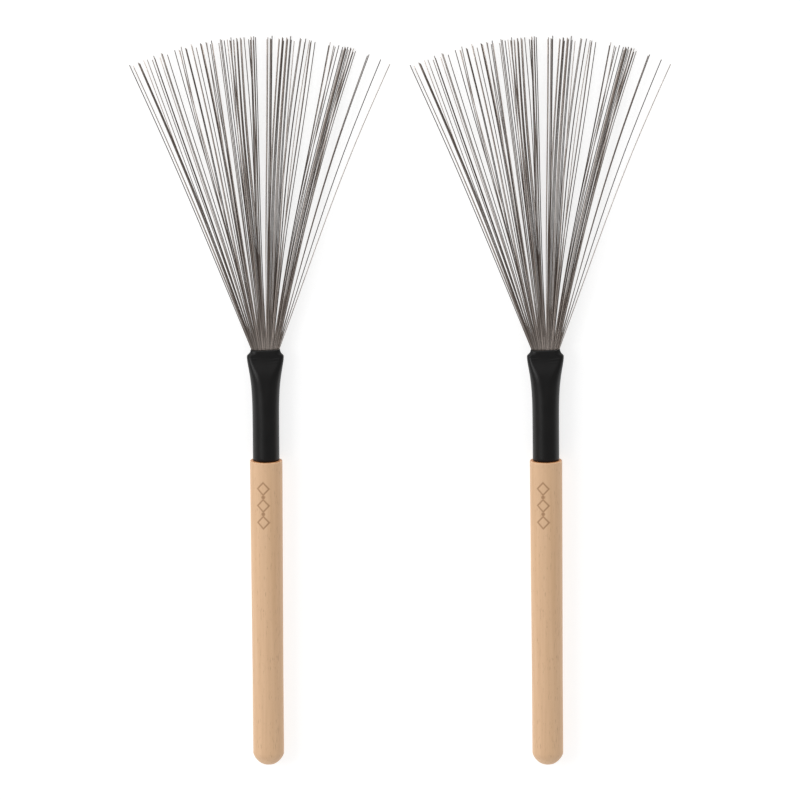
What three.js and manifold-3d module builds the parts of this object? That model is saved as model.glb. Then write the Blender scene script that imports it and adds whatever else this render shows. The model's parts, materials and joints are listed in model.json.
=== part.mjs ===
// A pair of wire drum brushes lying side by side on a table.
// Millimetres, +Z up. Each brush lies along Y with its wires towards +Y, and the origin is on the
// table under the middle of the pair.
import * as THREE from 'three';
import { mergeVertices } from 'three/addons/utils/BufferGeometryUtils.js';
import Module from 'manifold-3d';

const wasm = await Module();
wasm.setup();

// The pair: where the middle of each butt lies. The right brush lies a little nearer than the left.
const BUTT = {
  left: { x: -63.7, y: -172 },
  right: { x: 66.3, y: -172.95 },
};

// Turned parts share one number of sides, with a flat side facing straight down.
const SIDES = 24;
const FIRST_SIDE_ANGLE = Math.PI / SIDES;

// Handle, measured from the butt.
const HANDLE_LENGTH = 144.6;
const SHOULDER_RADIUS = 7.54;
const GRIP_RADIUS = 7.17;
const GRIP_LENGTH = 42;
const BUTT_DOME = 5.5;
const BUTT_DOME_POWER = 1.3; // 1 is an ellipse, and above 1 the dome is cut back like a cone
const BUTT_FLAT_RADIUS = 2;
const SHOULDER_CHAMFER = 0.4;
const TENON_LENGTH = 26;
const TENON_RADIUS = 4.65;
const AXIS_Z = SHOULDER_RADIUS * Math.cos(FIRST_SIDE_ANGLE);

// Sleeve over ferrule: a round tube that is flattened towards its mouth.
const FIT_GAP = 0.3;
const MOUTH_S = HANDLE_LENGTH + 51.9;
const SLEEVE_RADIUS = 6.19;
const SLEEVE_WALL = 0.54;
const FERRULE_RADIUS = SLEEVE_RADIUS - SLEEVE_WALL - FIT_GAP;
const FERRULE_WALL = 0.4;
const FERRULE_END_DEPTH = 1.5;

// The flattening, by depth below the rim of the mouth.
const FLARE_WIDTH = 2.41;
const FLARE_START = 2.7;
const FLARE_DEPTH = 10.6;
const FLARE_POWER = 1.55;
const FLARE_STATIONS = [FLARE_START, 7, 11.5, 16, 22, 30];
const PERIMETER = 2 * Math.PI * SLEEVE_RADIUS;
const LIP_DRAW_IN = 0.8;
const LIP_BEVEL = 0.62;
const LIP_OPENING = 1.22;

// Wires.
const WIRE_SIDE = 0.266;
const WIRE_LENGTH = 148.1;
const WIRE_LENGTH_SPREAD = 0.8;
const WIRE_LAYERS = 3;
const LAYER_PITCH = 0.34;
const ROOT_WIDTH = 12.6;
const TUFT_GAP = 0.1;
const HINGE_BEYOND_RIM = 0.9;
const BARREL_RADIUS = 0.55;
const BARREL_SIDES = 8;
const TIP_DROP = 2.2;
const TIP_LAYER_RISE = 3.5;
const TIP_SCATTER = 2.8;
const ROOT_DEPTH = 16;
const ROOT_WEB = 0.4;
const GOLDEN = 0.6180339887;

// The tufts of one brush from left to right: where the tips of each begin and end across the fan,
// and how many wires it has.
const TUFTS = [
  { from: -61.6, to: -55, wires: 7 },
  { from: -53.8, to: -43.8, wires: 8 },
  { from: -41, to: -32.4, wires: 8 },
  { from: -30.8, to: -22.4, wires: 9 },
  { from: -20.9, to: -17.4, wires: 4 },
  { from: -16.5, to: -8.5, wires: 13 },
  { from: -6.6, to: -3.4, wires: 7 },
  { from: 1.6, to: 5, wires: 5 },
  { from: 7, to: 14.6, wires: 11 },
  { from: 17, to: 24.3, wires: 8 },
  { from: 30.2, to: 35.4, wires: 5 },
  { from: 36.8, to: 42.9, wires: 13 },
  { from: 48, to: 49.8, wires: 2 },
  { from: 51.5, to: 61.5, wires: 2 },
];
const columnsOf = ({ wires }) => Math.ceil(wires / WIRE_LAYERS);
const COLUMN_TOTAL = TUFTS.reduce((sum, tuft) => sum + columnsOf(tuft), 0);

const MATERIALS = {
  wood: { color: 0xdcb68e, roughness: 0.55, metalness: 0 },
  sleeve: { color: 0x1b1b1b, roughness: 0.5, metalness: 0 },
  ferrule: { color: 0x9a9a9a, roughness: 0.4, metalness: 1 },
  resin: { color: 0xc9b27a, roughness: 0.3, metalness: 0 },
  wire: { color: 0x7d756c, roughness: 0.35, metalness: 1 },
};

const { lerp, clamp } = THREE.MathUtils;
const fraction = (value) => value - Math.floor(value);

// A steady scatter between 0 and 1 for wire number i; each use has its own offset.
const scatter = (i, offset) => fraction(i * GOLDEN + offset);

function namedMesh(name, geometry, material) {
  const mesh = new THREE.Mesh(geometry, new THREE.MeshStandardMaterial(MATERIALS[material]));
  mesh.name = name;
  return mesh;
}

// A turned piece about the brush axis, from [radius, distance from the butt] pairs.
function turned(profile) {
  const points = profile.map(([radius, s]) => new THREE.Vector2(radius, s));
  return new THREE.LatheGeometry(points, SIDES, FIRST_SIDE_ANGLE);
}

// Half the width of the sleeve at a depth below the rim, and from it the flat stretch and the round
// side of a section whose perimeter stays that of the round tube.
function section(depth) {
  const below = Math.max(depth - FLARE_START, 0) / FLARE_DEPTH;
  const halfWidth = SLEEVE_RADIUS + FLARE_WIDTH * Math.exp(-(below ** FLARE_POWER));
  const side = (PERIMETER - 4 * halfWidth) / (2 * Math.PI - 4);
  const drawnIn = LIP_DRAW_IN * clamp(1 - depth / FLARE_START, 0, 1);
  return { flat: halfWidth - side - drawnIn, side };
}

// Presses a round tube flat towards the mouth: each ring becomes two round sides joined by flats.
function flattened(geometry) {
  const position = geometry.attributes.position;
  for (let i = 0; i < position.count; i += 1) {
    const radius = Math.hypot(position.getX(i), position.getZ(i));
    if (radius < FIT_GAP) continue;
    const { flat, side } = section(MOUTH_S - position.getY(i));
    const pressed = (side - (SLEEVE_RADIUS - radius)) / radius;
    const shift = Math.sign(position.getX(i)) * flat;
    position.setX(i, position.getX(i) * pressed + shift);
    position.setZ(i, position.getZ(i) * pressed);
  }
  return geometry;
}

function handle() {
  const dome = [0, 1, 2, 3, 4, 5].map((step) => {
    const angle = (Math.PI / 2) * (step / 5);
    const out = Math.sin(angle) ** BUTT_DOME_POWER;
    const up = 1 - Math.cos(angle) ** BUTT_DOME_POWER;
    return [lerp(BUTT_FLAT_RADIUS, GRIP_RADIUS, out), BUTT_DOME * up];
  });
  const tenonEnd = HANDLE_LENGTH + TENON_LENGTH;
  return turned([
    [0, 0],
    ...dome,
    [GRIP_RADIUS, GRIP_LENGTH],
    [SHOULDER_RADIUS, HANDLE_LENGTH - SHOULDER_CHAMFER],
    [SHOULDER_RADIUS - SHOULDER_CHAMFER, HANDLE_LENGTH],
    [TENON_RADIUS, HANDLE_LENGTH],
    [TENON_RADIUS, tenonEnd - SHOULDER_CHAMFER],
    [TENON_RADIUS - SHOULDER_CHAMFER, tenonEnd],
    [0, tenonEnd],
  ]);
}

// The rings along one wall of a tube, from the handle up to the last station before the mouth.
function wall(radius, foot) {
  const rings = FLARE_STATIONS.map((depth) => [radius, MOUTH_S - depth]).reverse();
  return [[radius, foot], ...rings];
}

function sleeve() {
  const foot = HANDLE_LENGTH + FIT_GAP;
  const inside = SLEEVE_RADIUS - SLEEVE_WALL;
  const ferruleStop = MOUTH_S - FERRULE_END_DEPTH + FIT_GAP;
  return flattened(turned([
    ...wall(SLEEVE_RADIUS, foot),
    [SLEEVE_RADIUS - LIP_BEVEL, MOUTH_S],
    [SLEEVE_RADIUS - LIP_OPENING, MOUTH_S],
    [SLEEVE_RADIUS - LIP_OPENING, ferruleStop],
    [inside, ferruleStop],
    ...wall(inside, foot).reverse(),
    [SLEEVE_RADIUS, foot],
  ]));
}

function ferrule() {
  const foot = HANDLE_LENGTH + FIT_GAP;
  const end = MOUTH_S - FERRULE_END_DEPTH;
  const inside = FERRULE_RADIUS - FERRULE_WALL;
  return flattened(turned([
    ...wall(FERRULE_RADIUS, foot),
    [FERRULE_RADIUS, end],
    [inside, end],
    ...wall(inside, foot).reverse(),
    [FERRULE_RADIUS, foot],
  ]));
}

function resinPlug() {
  const foot = HANDLE_LENGTH + TENON_LENGTH + FIT_GAP;
  const top = MOUTH_S - ROOT_DEPTH - FIT_GAP;
  const radius = FERRULE_RADIUS - FERRULE_WALL - FIT_GAP;
  return flattened(turned([[0, foot], [radius, foot], [radius, MOUTH_S - 22], [radius, top], [0, top]]));
}

// Where each tuft sits in the mouth: its share of the width, by its columns of wires.
function rootSpans() {
  let start = -ROOT_WIDTH / 2;
  return TUFTS.map((tuft) => {
    const end = start + (ROOT_WIDTH * columnsOf(tuft)) / COLUMN_TOTAL;
    const span = { left: start + TUFT_GAP / 2, right: end - TUFT_GAP / 2 };
    start = end;
    return span;
  });
}

// The buried wire ends: one rib for each tuft on a web of glue, narrowing and thickening with depth.
function wireRoots() {
  const half = ((WIRE_LAYERS - 1) * LAYER_PITCH + WIRE_SIDE) / 2;
  const web = ROOT_WEB / 2;
  const upper = rootSpans().flatMap(({ left, right }) => [
    [left, web], [left, half], [right, half], [right, web]]);
  const lower = upper.map(([x, z]) => [x, -z]).reverse();
  const edge = [...lower, ...upper].map(([x, z]) => new THREE.Vector2(x, z));
  const length = ROOT_DEPTH + HINGE_BEYOND_RIM - BARREL_RADIUS - FIT_GAP;
  const geometry = new THREE.ExtrudeGeometry(new THREE.Shape(edge), { depth: length, bevelEnabled: false });
  const position = geometry.attributes.position;
  for (let i = 0; i < position.count; i += 1) {
    const buried = position.getZ(i) / length;
    position.setX(i, position.getX(i) * lerp(1, 0.76, buried));
    position.setY(i, position.getY(i) * lerp(1, 1.35, buried));
  }
  geometry.rotateX(Math.PI / 2);
  geometry.translate(0, MOUTH_S - ROOT_DEPTH + length, 0);
  return geometry;
}

function toSolid(geometry) {
  const plain = geometry.clone();
  plain.deleteAttribute('normal');
  plain.deleteAttribute('uv');
  const merged = mergeVertices(plain, 1e-4);
  return new wasm.Manifold(new wasm.Mesh({
    numProp: 3,
    vertProperties: new Float32Array(merged.attributes.position.array),
    triVerts: new Uint32Array(merged.index.array),
  }));
}

function toGeometry(solid) {
  const mesh = solid.getMesh();
  const geometry = new THREE.BufferGeometry();
  geometry.setAttribute('position', new THREE.BufferAttribute(mesh.vertProperties, 3));
  geometry.setIndex(new THREE.BufferAttribute(mesh.triVerts, 1));
  geometry.computeVertexNormals();
  return geometry;
}

// One straight square-section wire between two points.
function wire(start, end) {
  const along = new THREE.Vector3().subVectors(end, start);
  const geometry = new THREE.BoxGeometry(WIRE_SIDE, along.length(), WIRE_SIDE);
  const turn = new THREE.Quaternion().setFromUnitVectors(new THREE.Vector3(0, 1, 0), along.normalize());
  geometry.applyQuaternion(turn);
  const middle = new THREE.Vector3().addVectors(start, end).multiplyScalar(0.5);
  return geometry.translate(middle.x, middle.y, middle.z);
}

// A tuft: its wires grow from a small barrel that lies across the mouth, on the line they flex about.
// They stand in columns of three layers, and keep that order to the tips, so that none cross.
function tuft(index) {
  const { from, to, wires } = TUFTS[index];
  const { left, right } = rootSpans()[index];
  const hingeS = MOUTH_S + HINGE_BEYOND_RIM;
  const barrel = new THREE.CylinderGeometry(BARREL_RADIUS, BARREL_RADIUS, right - left, BARREL_SIDES);
  barrel.rotateZ(Math.PI / 2).rotateX(Math.PI / BARREL_SIDES).translate((left + right) / 2, hingeS, 0);
  const firstWire = TUFTS.slice(0, index).reduce((sum, other) => sum + other.wires, 0);
  let solid = toSolid(barrel);
  for (let j = 0; j < wires; j += 1) {
    const number = firstWire + j;
    const across = (Math.floor(j / WIRE_LAYERS) + 0.5) / columnsOf(TUFTS[index]);
    const layer = (j % WIRE_LAYERS) - (WIRE_LAYERS - 1) / 2;
    const rootX = lerp(left, right, across);
    const tipX = lerp(from, to, (j + 0.2 + 0.6 * scatter(number, 0)) / wires);
    const tipZ = layer * TIP_LAYER_RISE + TIP_SCATTER * (scatter(3 * number, 0.11) - 0.5) - TIP_DROP;
    const length = WIRE_LENGTH + WIRE_LENGTH_SPREAD * (scatter(2 * number, 0.71) - 0.5);
    const start = new THREE.Vector3(rootX, hingeS, layer * LAYER_PITCH);
    const tip = new THREE.Vector3(tipX, MOUTH_S + Math.sqrt(length ** 2 - tipX ** 2), tipZ);
    solid = solid.add(toSolid(wire(start, tip)));
  }
  return toGeometry(solid);
}

function brush(side) {
  const group = new THREE.Group();
  group.position.set(BUTT[side].x, BUTT[side].y, AXIS_Z);
  group.add(
    namedMesh(`${side}_handle`, handle(), 'wood'),
    namedMesh(`${side}_ferrule`, ferrule(), 'ferrule'),
    namedMesh(`${side}_sleeve`, sleeve(), 'sleeve'),
    namedMesh(`${side}_resin_plug`, resinPlug(), 'resin'),
    namedMesh(`${side}_wire_roots`, wireRoots(), 'wire'),
  );
  TUFTS.forEach((_, index) => {
    const number = String(index + 1).padStart(2, '0');
    group.add(namedMesh(`${side}_wires_${number}`, tuft(index), 'wire'));
  });
  return group;
}

const pair = new THREE.Group();
pair.add(brush('left'), brush('right'));

export default pair;
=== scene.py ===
"""Looks of a pair of wire drum brushes that lie on a pale table. Metres, +Z up, brushes along +Y.

A brush's own coordinates start at the middle of its butt: x across, y along, z up. On the sleeve,
depth is measured from the rim of the mouth back towards the handle."""
import json
import math

import bpy
import numpy as np
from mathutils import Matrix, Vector

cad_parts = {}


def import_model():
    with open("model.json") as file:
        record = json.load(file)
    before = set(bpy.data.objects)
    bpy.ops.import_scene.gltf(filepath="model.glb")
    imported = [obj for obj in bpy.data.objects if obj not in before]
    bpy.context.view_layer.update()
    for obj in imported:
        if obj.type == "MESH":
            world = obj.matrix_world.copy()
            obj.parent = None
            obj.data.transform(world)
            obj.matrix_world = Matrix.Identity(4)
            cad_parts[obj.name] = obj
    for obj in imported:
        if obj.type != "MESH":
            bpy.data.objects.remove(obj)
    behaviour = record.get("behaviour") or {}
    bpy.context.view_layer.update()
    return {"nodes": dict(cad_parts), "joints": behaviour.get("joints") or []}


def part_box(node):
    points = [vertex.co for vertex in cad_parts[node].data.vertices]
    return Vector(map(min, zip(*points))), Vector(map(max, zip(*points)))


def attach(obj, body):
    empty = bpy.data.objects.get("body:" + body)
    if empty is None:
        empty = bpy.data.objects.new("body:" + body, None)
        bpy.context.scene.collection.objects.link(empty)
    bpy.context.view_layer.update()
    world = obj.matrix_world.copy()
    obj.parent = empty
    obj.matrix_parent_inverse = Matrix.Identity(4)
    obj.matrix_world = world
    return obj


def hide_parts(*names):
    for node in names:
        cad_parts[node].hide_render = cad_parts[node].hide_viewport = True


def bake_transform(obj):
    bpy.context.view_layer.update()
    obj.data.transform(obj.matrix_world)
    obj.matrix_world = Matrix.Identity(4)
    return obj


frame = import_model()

MM = 0.001
SIDES = ("left", "right")

# ---------------------------------------------------------------- sizes, from the frame
CAD_SIDES = 24  # the frame's turned parts are polygons, and its radii reach their corners
CORNER = math.cos(math.pi / CAD_SIDES)


def axis_point(side):
    """The middle of a brush's butt: where its own coordinates start."""
    low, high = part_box(f"{side}_handle")
    return Vector(((low.x + high.x) / 2, low.y, (low.z + high.z) / 2))


def along(part, end):
    """How far from the butt a part of a brush begins (end 0) or stops (end 1)."""
    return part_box(f"left_{part}")[end].y - axis_point("left").y


HANDLE_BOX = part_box("left_handle")
SHOULDER_RADIUS = (HANDLE_BOX[1].x - HANDLE_BOX[0].x) / 2 / CORNER
TENON_END = along("handle", 1)
MOUTH = along("sleeve", 1)
SLEEVE_FOOT = along("sleeve", 0)
SLEEVE_LENGTH = MOUTH - SLEEVE_FOOT
HINGE = Vector(frame["joints"][0]["pos_m"]).y - axis_point("left").y

# The handle: a domed butt, an even grip, a slow taper out to the shoulder, and the hidden tenon.
FOOT_GAP = 0.3 * MM  # between the shoulder and the foot of the sleeve
SHOULDER = SLEEVE_FOOT - FOOT_GAP
TAPER = 0.37 * MM
GRIP_RADIUS = SHOULDER_RADIUS - TAPER
GRIP_LENGTH = 42 * MM
DOME_LENGTH = 5.5 * MM
DOME_POWER = 1.3  # 1 is an ellipse, and above 1 the dome is cut back like a cone
BUTT_FLAT_RADIUS = 2 * MM
BUTT_FLAT_EDGE = 0.02 * MM  # how far the edge of the flat is rounded back
CHAMFER = 0.4 * MM
TENON_RADIUS = 4.65 * MM
TENON_FILLET = 0.6 * MM

# The sleeve: a round tube pressed flat towards its mouth, by depth below the rim.
SLEEVE_RADIUS = 6.19 * MM
SLEEVE_WALL = 0.54 * MM
FLARE_WIDTH = 2.41 * MM
FLARE_START = 2.7 * MM
FLARE_DEPTH = 10.6 * MM
FLARE_POWER = 1.55
FLARE_FULLNESS = 0.8 * MM
FLARE_REACH = 6 * MM
LIP_DRAW_IN = 0.8 * MM
LIP_OPENING = 1.22 * MM  # how far the opening is set in from the outer surface

# The wires, as the frame lays them out: tufts from left to right, where their tips begin and end
# across the fan in millimetres, and how many wires each has.
TUFTS = [
    (-61.6, -55, 7), (-53.8, -43.8, 8), (-41, -32.4, 8), (-30.8, -22.4, 9), (-20.9, -17.4, 4),
    (-16.5, -8.5, 13), (-6.6, -3.4, 7), (1.6, 5, 5), (7, 14.6, 11), (17, 24.3, 8),
    (30.2, 35.4, 5), (36.8, 42.9, 13), (48, 49.8, 2), (51.5, 61.5, 2),
]
WIRE_COUNT = sum(count for _, _, count in TUFTS)
WIRE_RADIUS = 0.2 * MM
WIRE_LENGTH = 147.6 * MM
LENGTH_SPREAD = 0.8 * MM
LAYERS = 3
LAYER_PITCH = 0.34 * MM
LAYER_SHIFT = 0.33 * MM  # how far each layer lies to the right of the one below, in the mouth
ROOT_WIDTH = 12.6 * MM
ROOT_DEPTH = 14 * MM


# ---------------------------------------------------------------- mesh helpers
def smooth(t):
    """Rises from 0 to 1 with soft ends."""
    t = np.clip(t, 0, 1)
    return t * t * (3 - 2 * t)


def hill(x, middle, width):
    """1 at the middle, falling to 0 on both sides."""
    return np.exp(-(((x - middle) / width) ** 2))


def mesh_from(name, points, faces, **attributes):
    """A smooth-shaded mesh, with float attributes on its points."""
    mesh = bpy.data.meshes.new(name)
    mesh.from_pydata([tuple(p) for p in points], [], faces)
    mesh.polygons.foreach_set("use_smooth", [True] * len(mesh.polygons))
    for key, values in attributes.items():
        layer = mesh.attributes.new(key, "FLOAT", "POINT")
        layer.data.foreach_set("value", np.asarray(values, np.float32))
    mesh.validate()
    mesh.update()
    return mesh


def ring_faces(rings, sides, first=0):
    """Quads between rings of points, each ring closed on itself."""
    faces = []
    for r in range(rings - 1):
        low, high = first + r * sides, first + (r + 1) * sides
        for k in range(sides):
            n = (k + 1) % sides
            faces.append((low + k, low + n, high + n, high + k))
    return faces


def end_fans(rings, sides, first_centre):
    """Triangles that close the first and last ring, each to its own centre point."""
    last = (rings - 1) * sides
    faces = []
    for k in range(sides):
        n = (k + 1) % sides
        faces.append((first_centre, n, k))
        faces.append((first_centre + 1, last + k, last + n))
    return faces


def add_object(name, data):
    made = bpy.data.objects.new(name, data)
    bpy.context.scene.collection.objects.link(made)
    return made


def place(mesh, name, material, side, replaced):
    """Puts a mesh made in a brush's own coordinates on that brush, in place of a CAD node."""
    piece = add_object(f"{side}_{name}", mesh)
    piece.location = axis_point(side)
    if not mesh.materials:
        mesh.materials.append(material)
    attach(piece, f"{side}_brush")
    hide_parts(f"{side}_{replaced}")


# ---------------------------------------------------------------- node helpers
MIX_FACTOR, MIX_A, MIX_B, MIX_RESULT = 0, 6, 7, 2  # the colour sockets of a Mix node, by place


def new_material(name):
    material = bpy.data.materials.new(name)
    material.use_nodes = True
    tree = material.node_tree
    return material, tree, tree.nodes["Principled BSDF"]


def node(tree, kind, inputs=None, **settings):
    """Adds a node; an input is a value or a socket to link from."""
    made = tree.nodes.new("ShaderNode" + kind)
    for key, value in settings.items():
        setattr(made, key, value)
    for key, value in (inputs or {}).items():
        if isinstance(value, bpy.types.NodeSocket):
            tree.links.new(value, made.inputs[key])
        else:
            made.inputs[key].default_value = value
    return made


def attribute(tree, name):
    return node(tree, "Attribute", attribute_name=name).outputs["Fac"]


def stretched_noise(tree, scale, detail=3.0, offset=(0, 0, 0)):
    """Noise in the piece's own coordinates, with its own scale along each axis."""
    position = node(tree, "TexCoord").outputs["Object"]
    mapped = node(tree, "Mapping", {"Vector": position, "Scale": scale, "Location": offset})
    return node(tree, "TexNoise", {
        "Vector": mapped.outputs["Vector"], "Scale": 1.0, "Detail": detail, "Roughness": 0.55,
    }).outputs["Fac"]


def ramp(tree, factor, *stops):
    """A colour ramp from (position, (r, g, b)) stops."""
    made = node(tree, "ValToRGB", {"Fac": factor})
    elements = made.color_ramp.elements
    while len(elements) < len(stops):
        elements.new(0.5)
    for element, (position, colour) in zip(elements, stops):
        element.position = position
        element.color = (*colour, 1)
    return made.outputs["Color"]


def mix(tree, factor, a, colour):
    """Goes from a to an (r, g, b) colour as the factor rises."""
    made = node(tree, "Mix", {MIX_FACTOR: factor, MIX_A: a, MIX_B: (*colour, 1)}, data_type="RGBA")
    return made.outputs[MIX_RESULT]


def span(tree, factor, low, high):
    """Maps 0..1 to low..high."""
    made = node(tree, "MapRange", {"Value": factor, "To Min": low, "To Max": high})
    return made.outputs["Result"]


def bump(tree, shader, height, distance, strength=1.0):
    made = node(tree, "Bump", {"Height": height, "Distance": distance, "Strength": strength})
    tree.links.new(made.outputs["Normal"], shader.inputs["Normal"])


# ---------------------------------------------------------------- materials
def wood_material():
    """Light beech: short lengthwise flecks on soft streaks, darker where the mark is burnt in and
    darker and redder on the end face round the foot of the sleeve: end grain, and painted shade
    there."""
    material, tree, shader = new_material("wood")
    streaks = stretched_noise(tree, (420, 14, 420), detail=4)
    clouds = stretched_noise(tree, (120, 22, 120), detail=2, offset=(3, 0, 1))
    flecks = stretched_noise(tree, (1900, 260, 1900), detail=2)
    base = ramp(tree, streaks, (0.25, (0.655, 0.415, 0.245)), (0.5, (0.735, 0.482, 0.298)),
                (0.78, (0.79, 0.54, 0.345)))
    warm = mix(tree, span(tree, clouds, 0, 0.5), base, (0.78, 0.5, 0.275))
    fleck_mask = ramp(tree, flecks, (0.60, (0, 0, 0)), (0.72, (0.55, 0.55, 0.55)))
    flecked = mix(tree, fleck_mask, warm, (0.5, 0.3, 0.17))
    burnt = mix(tree, attribute(tree, "burn"), flecked, (0.42, 0.238, 0.125))
    # Painted shade and end grain: the shoulder's end face, under the foot of the sleeve, is coloured
    # darker and redder.
    colour = mix(tree, attribute(tree, "end_grain"), burnt, (0.66, 0.3, 0.125))
    tree.links.new(colour, shader.inputs["Base Color"])
    tree.links.new(span(tree, streaks, 0.42, 0.58), shader.inputs["Roughness"])
    shader.inputs["Specular IOR Level"].default_value = 0.35
    bump(tree, shader, flecks, 0.03 * MM, 0.5)
    return material


def sleeve_material():
    """Black shrunk sleeve: satin, with a fine grain and a little wear on its surface."""
    material, tree, shader = new_material("black_sleeve")
    grain = stretched_noise(tree, (5200, 3800, 5200), detail=2)
    wear = stretched_noise(tree, (260, 160, 260))
    colour = ramp(tree, wear, (0.3, (0.003, 0.0028, 0.0028)), (0.75, (0.0046, 0.0041, 0.004)))
    tree.links.new(colour, shader.inputs["Base Color"])
    tree.links.new(span(tree, wear, 0.33, 0.43), shader.inputs["Roughness"])
    shader.inputs["Specular IOR Level"].default_value = 0.27
    bump(tree, shader, grain, 0.012 * MM, 0.6)
    return material


def wire_material():
    """Drawn steel wire: each wire has its own tone, with faint marks along it, and painted light
    near the mouth.
    """
    material, tree, shader = new_material("wire_steel")
    marks = stretched_noise(tree, (700, 55, 700))
    # The tone attribute carries painted light as well: the packed wires near the mouth are coloured
    # lighter.
    tone = ramp(tree, attribute(tree, "tone"), (0.0, (0.045, 0.034, 0.028)),
                (0.4, (0.19, 0.154, 0.133)), (0.75, (0.42, 0.37, 0.337)), (1.0, (0.9, 0.79, 0.72)))
    worn = mix(tree, span(tree, marks, 0.0, 0.35), tone, (0.11, 0.09, 0.079))
    tree.links.new(worn, shader.inputs["Base Color"])
    tree.links.new(span(tree, marks, 0.26, 0.42), shader.inputs["Roughness"])
    shader.inputs["Metallic"].default_value = 1.0
    return material


def ferrule_material():
    """Drawn steel tube with fine lengthwise lines."""
    material, tree, shader = new_material("ferrule_steel")
    lines = stretched_noise(tree, (3000, 60, 3000))
    colour = ramp(tree, lines, (0.3, (0.36, 0.35, 0.34)), (0.7, (0.56, 0.55, 0.53)))
    tree.links.new(colour, shader.inputs["Base Color"])
    tree.links.new(span(tree, lines, 0.28, 0.45), shader.inputs["Roughness"])
    shader.inputs["Metallic"].default_value = 1.0
    bump(tree, shader, lines, 0.01 * MM)
    return material


def resin_material():
    """Brown cast glue, cloudy with small pits."""
    material, tree, shader = new_material("resin")
    cloud = stretched_noise(tree, (600, 600, 600))
    pits = stretched_noise(tree, (2600, 2600, 2600), detail=1)
    colour = ramp(tree, cloud, (0.3, (0.055, 0.034, 0.018)), (0.75, (0.14, 0.09, 0.045)))
    tree.links.new(colour, shader.inputs["Base Color"])
    tree.links.new(span(tree, cloud, 0.22, 0.4), shader.inputs["Roughness"])
    bump(tree, shader, pits, 0.05 * MM, 0.6)
    return material


# ---------------------------------------------------------------- handle
MARK_CENTRE = SHOULDER - 20.2 * MM
MARK_ANGLE = math.radians(-11.5)  # a little to the left of the handle's top line
DIAMOND_ACROSS = 2.75 * MM
DIAMOND_ALONG = 2.9 * MM
DIAMOND_PITCH = 8 * MM
DOT_RADIUS = 0.55 * MM
STROKE = 0.66 * MM
MARK_DEPTH = 0.1 * MM
MARK_MARGIN = 1 * MM
MARK_HALF_LENGTH = DIAMOND_PITCH + DIAMOND_ALONG + MARK_MARGIN
MARK_HALF_ANGLE = (DIAMOND_ACROSS + MARK_MARGIN) / SHOULDER_RADIUS

# Where the handle's rings lie: closest under the mark, so that it can be cut in.
DOME_STEPS = 18
CHAMFER_STEPS = 6
GRIP_STATIONS = (6.5, 8, 11, 15, 20, 26, 33)  # in millimetres from the butt
PLAIN_SPACING = 4 * MM
MARK_SPACING = 0.14 * MM
MARK_ANGLES = 58
OTHER_ANGLES = 72
END_FACE_MARGIN = 0.03 * MM


def mark_depth(u, v):
    """How deep the mark is, 0 to 1: three open diamonds in a row with a dot between each two.
    u runs across the handle and v along it, from the middle of the mark."""
    scale = DIAMOND_ACROSS * DIAMOND_ALONG / math.hypot(DIAMOND_ACROSS, DIAMOND_ALONG)
    distance = np.full(np.shape(u), 1.0)
    for k in (-1, 0, 1):
        rhombus = np.abs(u) / DIAMOND_ACROSS + np.abs(v - k * DIAMOND_PITCH) / DIAMOND_ALONG
        distance = np.minimum(distance, np.abs(rhombus - 1) * scale)
    for k in (-0.5, 0.5):
        dot = np.hypot(u, v - k * DIAMOND_PITCH) - DOT_RADIUS
        distance = np.minimum(distance, np.maximum(dot, 0))
    return 1 - smooth(distance / STROKE)


def handle_profile():
    """(distance from butt, radius) of each ring of the handle, close together where it curves."""
    points = [(0, BUTT_FLAT_RADIUS * 0.5), (BUTT_FLAT_EDGE, BUTT_FLAT_RADIUS * 0.9)]
    for k in range(1, DOME_STEPS + 1):
        angle = math.pi / 2 * k / DOME_STEPS
        radius = BUTT_FLAT_RADIUS + (GRIP_RADIUS - BUTT_FLAT_RADIUS) * math.sin(angle) ** DOME_POWER
        points.append((DOME_LENGTH * (1 - math.cos(angle) ** DOME_POWER), radius))
    points += [(station * MM, GRIP_RADIUS) for station in GRIP_STATIONS]

    taper_end = SHOULDER - CHAMFER
    mark_low, mark_high = MARK_CENTRE - MARK_HALF_LENGTH, MARK_CENTRE + MARK_HALF_LENGTH
    plain = np.arange(GRIP_LENGTH, mark_low, PLAIN_SPACING)
    marked = np.arange(mark_low, mark_high, MARK_SPACING)
    last = np.linspace(mark_high, taper_end - 0.25 * MM, 5)
    for s in (*plain, *marked, *last):
        share = (s - GRIP_LENGTH) / (taper_end - GRIP_LENGTH)
        points.append((s, GRIP_RADIUS + TAPER * share))
    for k in range(CHAMFER_STEPS + 1):
        angle = math.pi / 2 * k / CHAMFER_STEPS
        points.append((SHOULDER - CHAMFER * (1 - math.sin(angle)),
                       SHOULDER_RADIUS - CHAMFER * (1 - math.cos(angle))))
    points += [(SHOULDER, TENON_RADIUS + TENON_FILLET), (SHOULDER, TENON_RADIUS)]
    points += [(TENON_END - CHAMFER, TENON_RADIUS), (TENON_END, TENON_RADIUS - CHAMFER)]
    return points


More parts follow.
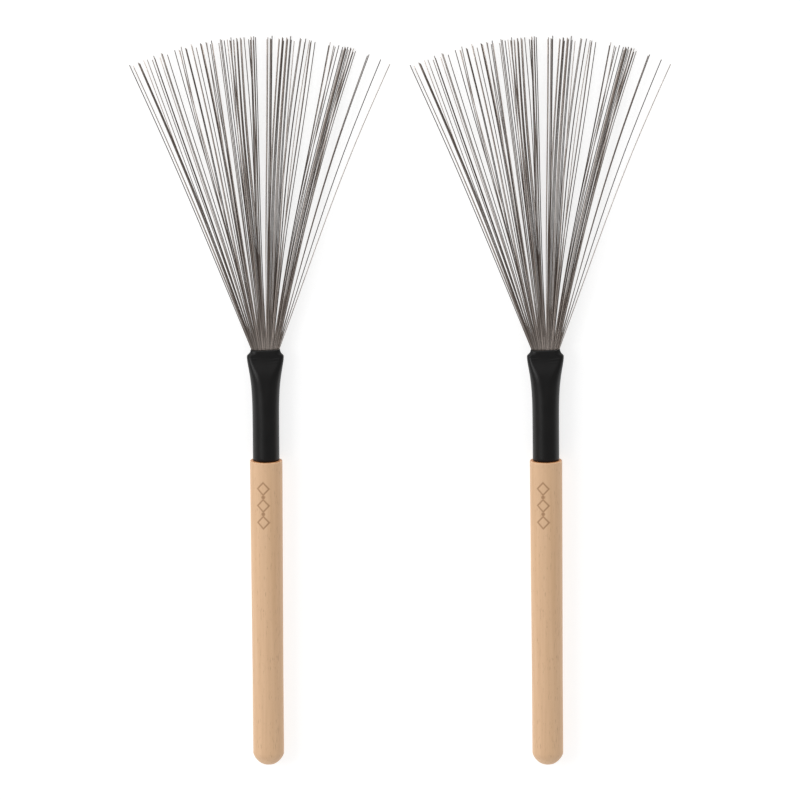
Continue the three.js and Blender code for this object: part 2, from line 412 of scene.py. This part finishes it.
def handle_mesh():
    """The turned handle, with its mark cut in. Angles are from the top line, towards +X."""
    mark_start, mark_end = MARK_ANGLE - MARK_HALF_ANGLE, MARK_ANGLE + MARK_HALF_ANGLE
    fine = np.linspace(mark_start, mark_end, MARK_ANGLES)
    coarse = np.linspace(mark_end, mark_start + 2 * math.pi, OTHER_ANGLES)[1:-1]
    angles = np.concatenate([fine, coarse])
    s, radius = np.array(handle_profile()).T[:, :, None]
    depth = mark_depth((angles - MARK_ANGLE) * radius, s - MARK_CENTRE)
    depth[np.abs(s[:, 0] - MARK_CENTRE) >= MARK_HALF_LENGTH] = 0
    depth[:, len(fine):] = 0
    cut = radius - MARK_DEPTH * depth
    stations = np.broadcast_to(s, cut.shape)
    rings = np.stack([cut * np.sin(angles), stations, cut * np.cos(angles)], -1)
    points = np.concatenate([rings.reshape(-1, 3), [[0, 0, 0], [0, TENON_END, 0]]])
    burn = np.concatenate([depth.reshape(-1), [0, 0]])
    # The shoulder's end face and the tenon: end grain, and painted shade under the foot of the
    # sleeve.
    end_grain = np.concatenate([stations.reshape(-1) > SHOULDER - END_FACE_MARGIN, [0, 1]])
    faces = ring_faces(len(rings), len(angles))
    faces += end_fans(len(rings), len(angles), len(points) - 2)
    return mesh_from("handle", points, faces, burn=burn, end_grain=end_grain)


# ---------------------------------------------------------------- sleeve and glue
# Points on each half of a ring: round its side, and along a flat.
SIDE_POINTS = 30
FLAT_POINTS = 18

# The outlines are (depth below the rim, how far the surface is drawn in at the middle of the flat
# sides, and at the corners), in millimetres. First the foot, whose edge is rolled a little.
FOOT_ROLL = 0.05
FOOT_OUTLINE = [(SLEEVE_LENGTH / MM, 0.2, 0.2), (SLEEVE_LENGTH / MM + FOOT_ROLL, 0.06, 0.06)]
# The lip's corners are cut back to a steep bevel.
LIP_OUTLINE = [
    (2.35, 0.0, 0.02), (2.05, 0.0, 0.07), (1.8, 0.0, 0.17), (1.55, 0.0, 0.34), (1.3, 0.01, 0.56),
    (1.05, 0.02, 0.76), (0.82, 0.03, 0.87), (0.6, 0.05, 0.92), (0.38, 0.08, 0.93), (0.18, 0.16, 0.94),
    (0.04, 0.32, 0.96),
]
RIM_OUTLINE = [(-0.04, 0.56, 1.0), (-0.05, 0.86, 1.08), (-0.02, 1.1, 1.17), (0.08, 1.22, 1.22)]
# Depths of the rings, in millimetres, down the plain outside and back along the plain inside.
OUTSIDE_DEPTHS = (*np.linspace(51.6, 32, 14), *np.linspace(31, 6, 52), *np.linspace(5.8, 2.7, 24))
INSIDE_DEPTHS = (*np.linspace(1.4, 6, 8), *np.linspace(7, 31, 24), *np.linspace(34, 51.6, 8))

# Where the corners of the mouth begin and how wide they are, in parts of its half-width.
CORNER_START = 0.5
CORNER_REACH = 0.42

# The rim stands up a little, more at its horns, which are its outermost parts, and on the right.
RIM_RISE = 0.45 * MM
RIM_REACH = 1.6 * MM
RIM_TILT = 0.2 * MM
HORN_RISE = 0.3 * MM
HORN_START = 0.7
HORN_REACH = 0.26

# A bead runs round the mouth with a groove below it, both strongest at the corners.
BEAD_DEPTH = 1.3 * MM
BEAD_WIDTH = 0.7 * MM
BEAD_HEIGHT = 0.16 * MM
BEAD_MIDDLE_SHARE = 0.25
BEAD_CORNER_START = 2 * MM
BEAD_CORNER_REACH = 3 * MM
GROOVE_DEPTH = 2.75 * MM
GROOVE_WIDTH = 0.42 * MM
GROOVE_SHARE = 0.8

# Folds of the shrunk lip: each place is (x, width, strength).
FOLD_PLACES = [(4.2 * MM, 2.6 * MM, 1), (-5.2 * MM, 1.8 * MM, 0.45)]
FOLD_DEPTH = 3.9 * MM
FOLD_REACH = 1.5 * MM
FOLD_HEIGHT = 0.045 * MM
FOLD_PITCH = 0.21 * MM
FOLD_SLANT = 1.9 * MM


def section(depth):
    """The half-length of the flat stretch and the radius of the round sides at a depth."""
    below = np.maximum(depth - FLARE_START, 0) / FLARE_DEPTH
    half_width = SLEEVE_RADIUS + FLARE_WIDTH * np.exp(-(below ** FLARE_POWER))
    side = (2 * math.pi * SLEEVE_RADIUS - 4 * half_width) / (2 * math.pi - 4)
    side = side + FLARE_FULLNESS * hill(depth, FLARE_DEPTH, FLARE_REACH)
    drawn_in = LIP_DRAW_IN * (1 - smooth(depth / FLARE_START))
    return half_width - side - drawn_in, side


def sleeve_ring(depth, inset):
    """One closed ring of the pressed tube. Its wall is inset from the outer surface, by one amount
    or by one for each point of the ring."""
    flat, side = section(depth)
    radii = side - np.broadcast_to(inset, 2 * (SIDE_POINTS + FLAT_POINTS))
    points = []
    for sign in (1, -1):
        for k in range(SIDE_POINTS):
            angle = sign * (math.pi / 2 - math.pi * (k + 0.5) / SIDE_POINTS)
            radius = radii[len(points)]
            points.append((sign * (flat + radius * math.cos(angle)), radius * math.sin(angle)))
        for k in range(FLAT_POINTS):
            share = (k + 0.5) / FLAT_POINTS
            points.append((sign * flat * (1 - 2 * share), -sign * radii[len(points)]))
    return np.array(points)


def crease(x, z, depth):
    """How far the outer surface stands out: the folds, the bead and the groove."""
    near = sum(strength * hill(x, middle, width) for middle, width, strength in FOLD_PLACES)
    wave = np.sin(depth / FOLD_PITCH + x / FOLD_SLANT)
    folds = FOLD_HEIGHT * near * hill(depth, FOLD_DEPTH, FOLD_REACH) * wave
    corner = smooth((np.abs(x) - BEAD_CORNER_START) / BEAD_CORNER_REACH)
    share = BEAD_MIDDLE_SHARE + (1 - BEAD_MIDDLE_SHARE) * corner
    bead = hill(depth, BEAD_DEPTH, BEAD_WIDTH)
    groove = hill(depth, GROOVE_DEPTH, GROOVE_WIDTH)
    return (folds + BEAD_HEIGHT * share * (bead - GROOVE_SHARE * groove)) * np.sign(z)


def sleeve_mesh():
    """The sleeve: up its outside, over the lip and the rim, and back down its inside."""
    outside = FOOT_OUTLINE + [(depth, 0, 0) for depth in OUTSIDE_DEPTHS] + LIP_OUTLINE
    opening, wall = LIP_OPENING / MM, SLEEVE_WALL / MM
    inside = [(0.6, opening), (1.15, opening), (1.2, wall + 0.1)]
    inside += [(depth, wall) for depth in INSIDE_DEPTHS] + [(SLEEVE_LENGTH / MM, wall - 0.1)]
    outline = outside + RIM_OUTLINE + [(depth, inset, inset) for depth, inset in inside]
    rings = []
    for index, (depth, middle, corner) in enumerate(np.array(outline) * MM):
        flat, side = section(depth)
        across = np.abs(sleeve_ring(depth, 0)[:, 0]) / (flat + side)
        share = smooth((across - CORNER_START) / CORNER_REACH)
        x, z = sleeve_ring(depth, middle + (corner - middle) * share).T
        horn = smooth((np.abs(x) / (flat + side) - HORN_START) / HORN_REACH)
        near_rim = 1 - smooth(depth / RIM_REACH)
        rise = near_rim * (RIM_RISE + HORN_RISE * horn + RIM_TILT * x / (flat + side))
        lift = crease(x, z, depth) if index < len(outside) else 0
        rings.append(np.stack([x, MOUTH - depth + rise, z + lift], -1))
    rings.append(rings[0])
    sides = len(rings[0])
    faces = ring_faces(len(rings), sides)
    points = np.concatenate(rings[:-1])
    closed = [tuple(k % len(points) for k in face) for face in faces]
    return mesh_from("sleeve", points, closed)


GLUE_STEPS = 12
GLUE_TOP = 1.6 * MM
GLUE_PEAK = 1.3 * MM
GLUE_SIDES = 60
GLUE_NARROWING = 0.24
GLUE_THICKENING = 0.35
GLUE_DOME = 0.25 * MM
GLUE_RIPPLE = 0.08 * MM
GLUE_RIPPLE_PITCH = 0.5 * MM


def glue_mesh():
    """The glue that fills the slot between the buried wires, with an uneven surface. Its sections
    are oblong with round corners."""
    angles = np.linspace(0, 2 * math.pi, GLUE_SIDES, endpoint=False)
    cos, sin = np.cos(angles), np.sin(angles)
    x = np.sign(cos) * np.abs(cos) ** 0.5
    z = np.sign(sin) * np.abs(sin) ** 0.7
    rings = []
    for depth in np.linspace(ROOT_DEPTH, GLUE_TOP, GLUE_STEPS):
        half_width = ROOT_WIDTH / 2 * (1 - GLUE_NARROWING * depth / ROOT_DEPTH)
        half_height = (LAYER_PITCH + WIRE_RADIUS) * (1 + GLUE_THICKENING * depth / ROOT_DEPTH)
        rings.append(np.stack([half_width * x, np.full_like(x, MOUTH - depth), half_height * z], -1))
    top = rings[-1]
    for shrink in (0.8, 0.45):
        dome = top * (shrink, 1, shrink)
        dome[:, 1] += GLUE_DOME * (1 - shrink) + GLUE_RIPPLE * np.sin(dome[:, 0] / GLUE_RIPPLE_PITCH)
        rings.append(dome)
    points = np.concatenate(rings + [[[0, MOUTH - ROOT_DEPTH, 0], [0, MOUTH - GLUE_PEAK, 0]]])
    faces = ring_faces(len(rings), GLUE_SIDES)
    faces += end_fans(len(rings), GLUE_SIDES, len(points) - 2)
    return mesh_from("glue", points, [tuple(reversed(face)) for face in faces])


# ---------------------------------------------------------------- wires
WIRE_SIDES = 8
WIRE_STEPS = 22
WIRE_STEP_POWER = 1.25  # above 1 the steps are closer together near the mouth
BURIED_LENGTH = 9 * MM
BURIED_CLOSING = 0.93  # how much nearer the middle a wire lies where its buried end stops
MOUTH_DEPTH = 0.4 * MM  # where a wire starts to turn outwards

# Where a tip lies: how high its layer is there, and how far it is scattered.
TIP_DROP = 2.2 * MM
TIP_LAYER_RISE = 3.5 * MM
TIP_SCATTER = 2.8 * MM
TIP_JITTER = 1.5  # in spaces between the tips of one tuft
SMALL_TUFT = 5  # a tuft of n wires is jittered by no more than n / SMALL_TUFT spaces
TIP_CHAMFER = 0.35  # in wire radii
TIP_FACE = 0.62  # in wire radii

# How a wire bows between mouth and tip.
BOW_SCATTER = 2 * MM
WAVE_SCATTER = 1 * MM
DRIFT = -0.6 * MM  # how far the middle of every wire bows to one side
CLOSING = 0.026  # how far it bows inwards, in parts of the tip's distance from the axis
ARCH = 0.9 * MM  # how far it arches upwards, at most

# How light a wire is, 0 to 1: an even painted light where the wires are packed, its own farther out.
PACKED_LENGTH = 52 * MM
# Painted light: the colour of the packed wires in the mouth, lighter than most wires' own.
PACKED_PAINTED_LIGHT = 0.94
EDGE_PAINTED_LIGHT = 0.55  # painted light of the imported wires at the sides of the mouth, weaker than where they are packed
OWN_SHARE = 0.3  # of a wire's own tone in the mouth
GOLDEN = 0.6180339887


def scatter(i, offset):
    """A steady scatter between 0 and 1 for wire number i."""
    value = i * GOLDEN + offset
    return value - math.floor(value)


def wire_line(root_x, layer, tip, number):
    """The middle line of a wire: buried straight, turned outwards at the mouth, then a faint bow."""
    height = layer * LAYER_PITCH
    buried = Vector((root_x * BURIED_CLOSING, MOUTH - BURIED_LENGTH, height))
    mouth = Vector((root_x, MOUTH - MOUTH_DEPTH, height))
    start = Vector((root_x, HINGE, height))
    bow = DRIFT - CLOSING * tip.x + (scatter(5 * number, 0.53) - 0.5) * BOW_SCATTER
    wave = (scatter(13 * number, 0.37) - 0.5) * WAVE_SCATTER
    rise = (0.5 + 0.5 * scatter(7 * number, 0.29)) * ARCH
    points = [buried, buried.lerp(mouth, 0.5), mouth]
    for k in range(WIRE_STEPS):
        t = (k / (WIRE_STEPS - 1)) ** WIRE_STEP_POWER
        arch = math.sin(math.pi * t)
        sideways = bow * arch + wave * math.sin(2 * math.pi * t)
        points.append(start.lerp(tip, t) + Vector((sideways, 0, rise * arch)))
    return np.array(points)


def sweep(line, radius):
    """The rings of a round wire along a line, with a small turned-in ring at its tip."""
    tangent = np.gradient(line, axis=0)
    tangent /= np.linalg.norm(tangent, axis=1)[:, None]
    across = np.cross(tangent, (0, 0, 1.0))
    across /= np.linalg.norm(across, axis=1)[:, None]
    up = np.cross(across, tangent)
    angles = (np.arange(WIRE_SIDES) * 2 * math.pi / WIRE_SIDES)[:, None]
    circle = np.cos(angles) * across[:, None] + np.sin(angles) * up[:, None]
    rings = line[:, None] + radius * circle
    tip = line[-1] + tangent[-1] * radius * TIP_CHAMFER + TIP_FACE * radius * circle[-1]
    return np.concatenate([rings, tip[None]])


def wire_ends(index, j):
    """The number of a wire, its place in the mouth, its layer and its tip, for wire j of a tuft.
    Each layer is evenly spaced across the mouth and a little to one side of the layer below."""
    low, high, wires = TUFTS[index]
    number = sum(count for _, _, count in TUFTS[:index]) + j
    layer = number % LAYERS - (LAYERS - 1) / 2
    columns = math.ceil(WIRE_COUNT / LAYERS)
    root_x = ROOT_WIDTH * ((number // LAYERS + 0.5) / columns - 0.5) + layer * LAYER_SHIFT
    jitter = min(TIP_JITTER, wires / SMALL_TUFT) * (scatter(number, 0) - 0.5)
    tip_x = (low + (high - low) * (j + 0.5 + jitter) / wires) * MM
    tip_z = layer * TIP_LAYER_RISE + TIP_SCATTER * (scatter(3 * number, 0.11) - 0.5) - TIP_DROP
    length = WIRE_LENGTH + LENGTH_SPREAD * (scatter(2 * number, 0.71) - 0.5)
    tip = Vector((tip_x, MOUTH + math.sqrt(length ** 2 - tip_x ** 2), tip_z))
    return number, root_x, layer, tip


def tuft_mesh(index):
    """The wires of one tuft. Each has its own tone, which evens out into painted light where they are
    packed.
    """
    points, faces, tones = [], [], []
    for j in range(TUFTS[index][2]):
        number, root_x, layer, tip = wire_ends(index, j)
        rings = sweep(wire_line(root_x, layer, tip, number), WIRE_RADIUS)
        start = len(points)
        points.extend(rings.reshape(-1, 3))
        faces += ring_faces(len(rings), WIRE_SIDES, start)
        faces.append(tuple(start + k for k in reversed(range(WIRE_SIDES))))
        last = start + (len(rings) - 1) * WIRE_SIDES
        faces.append(tuple(last + k for k in range(WIRE_SIDES)))
        own = OWN_SHARE + (1 - OWN_SHARE) * smooth((rings[:, 0, 1] - MOUTH) / PACKED_LENGTH)
        # Painted light: near the mouth each wire is lightened towards an even tone, less at the sides
        # of the mouth.
        packed_painted_light = PACKED_PAINTED_LIGHT + (EDGE_PAINTED_LIGHT - PACKED_PAINTED_LIGHT) * (2 * root_x / ROOT_WIDTH) ** 2
        tone = packed_painted_light + (scatter(11 * number, 0.17) - packed_painted_light) * own
        tones.extend(np.repeat(tone, WIRE_SIDES))
    return mesh_from(f"tuft_{index + 1:02d}", points, faces, tone=tones)


def place_tuft(mesh, index, material, side):
    """Puts a copy of a tuft on a brush, in place of its CAD node."""
    number = f"{index + 1:02d}"
    piece = add_object(f"{side}_tuft_{number}", mesh.copy())
    piece.location = axis_point(side)
    piece.data.materials.append(material)
    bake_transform(piece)
    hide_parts(f"{side}_wires_{number}")


# ---------------------------------------------------------------- stage
VIEW_TILT = math.radians(12)
VIEW_ROLL = math.radians(-0.42)  # the pair leans a little to the left
VIEW_DISTANCE = 12
VIEW_WIDTH = 0.3715
VIEW_MIDDLE = Vector((-1.33 * MM, 0.7 * MM, 0))
SENSOR = 36
ROOM_FAR = 2.4
ROOM_FAR_POWER = 4.0
ROOM_NEAR = 0.6
ROOM_NEAR_POWER = 2.0
ROOM_LEFT = 0.1
ROOM_DIM = 0.38
TABLE_HALF = 12.0
TABLE_GAP = 0.1 * MM  # below the brushes, so that no faces coincide
TABLE_GLOW = 0.7
KEY_ANGLE = math.radians(44)  # from straight up, towards the left
KEY_DISTANCE = 3
KEY_SIZE = 1.5
KEY_FORWARD = 0.5
KEY_POWER = 29


def camera():
    """Looks down at the pair, from beyond the wires by the view's tilt."""
    data = bpy.data.cameras.new("camera")
    data.sensor_width = SENSOR
    data.lens = SENSOR * VIEW_DISTANCE / VIEW_WIDTH
    data.clip_end = 2 * VIEW_DISTANCE
    made = add_object("camera", data)
    made.rotation_euler = (-VIEW_TILT, 0, VIEW_ROLL)
    back = made.rotation_euler.to_matrix() @ Vector((0, 0, 1))
    made.location = VIEW_MIDDLE + Vector((0, 0, axis_point("left").z)) + back * VIEW_DISTANCE
    bpy.context.scene.camera = made


def key_light():
    """A soft square light, high on the left, that faces the middle of the pair."""
    data = bpy.data.lights.new("key", "AREA")
    data.size = KEY_SIZE
    data.energy = KEY_POWER
    made = add_object("key", data)
    made.location = (-KEY_DISTANCE * math.sin(KEY_ANGLE), KEY_FORWARD,
                     KEY_DISTANCE * math.cos(KEY_ANGLE))
    made.rotation_euler = made.location.to_track_quat("Z", "Y").to_euler()


def world():
    """A studio room: brightest beyond the wires, less so beyond the butts, a little brighter on the
    left, and dim above."""
    made = bpy.data.worlds.new("room")
    bpy.context.scene.world = made
    made.use_nodes = True
    tree = made.node_tree

    def calculate(operation, a, b):
        return node(tree, "Math", {0: a, 1: b}, operation=operation).outputs["Value"]

    way = node(tree, "SeparateXYZ", {"Vector": node(tree, "TexCoord").outputs["Generated"]})
    far = calculate("POWER", calculate("MAXIMUM", way.outputs["Y"], 0.0), ROOM_FAR_POWER)
    near = calculate("POWER", calculate("MINIMUM", way.outputs["Y"], 0.0), ROOM_NEAR_POWER)
    left = calculate("MULTIPLY", calculate("MINIMUM", way.outputs["X"], 0.0), -ROOM_LEFT)
    ends = calculate("ADD", calculate("MULTIPLY", far, ROOM_FAR),
                     calculate("MULTIPLY", near, ROOM_NEAR))
    strength = calculate("ADD", calculate("ADD", ends, left), ROOM_DIM)
    background = tree.nodes["Background"]
    background.inputs["Color"].default_value = (1, 1, 1, 1)
    tree.links.new(strength, background.inputs["Strength"])


def floor():
    """A plain pale table top, lit a little from within like a light table."""
    material, tree, shader = new_material("table")
    tint = ramp(tree, stretched_noise(tree, (3, 3, 3)), (0.3, (0.44, 0.44, 0.44)),
                (0.7, (0.46, 0.46, 0.46)))
    tree.links.new(tint, shader.inputs["Base Color"])
    shader.inputs["Roughness"].default_value = 0.9
    shader.inputs["Specular IOR Level"].default_value = 0.1
    shader.inputs["Emission Color"].default_value = (1, 1, 1, 1)
    shader.inputs["Emission Strength"].default_value = TABLE_GLOW
    corners = [(x * TABLE_HALF, y * TABLE_HALF, 0) for x, y in ((-1, -1), (1, -1), (1, 1), (-1, 1))]
    mesh = mesh_from("table", corners, [(0, 1, 2, 3)])
    mesh.materials.append(material)
    made = add_object("table", mesh)
    made.location.z = -TABLE_GAP


# ---------------------------------------------------------------- build
wood = wood_material()
black = sleeve_material()
steel_wire = wire_material()
steel_tube = ferrule_material()
resin = resin_material()

camera()
handle = handle_mesh()
sleeve = sleeve_mesh()
glue = glue_mesh()
for brush_side in SIDES:
    place(handle, "turned_handle", wood, brush_side, "handle")
    place(sleeve, "shrunk_sleeve", black, brush_side, "sleeve")
    place(glue, "mouth_glue", resin, brush_side, "wire_roots")
    for cad_node, finish in (("ferrule", steel_tube), ("resin_plug", resin)):
        cad_materials = frame["nodes"][f"{brush_side}_{cad_node}"].data.materials
        cad_materials.clear()
        cad_materials.append(finish)
for tuft_index in range(len(TUFTS)):
    tuft = tuft_mesh(tuft_index)
    for brush_side in SIDES:
        place_tuft(tuft, tuft_index, steel_wire, brush_side)

world()
floor()
key_light()
bpy.context.scene.view_settings.view_transform = "Standard"
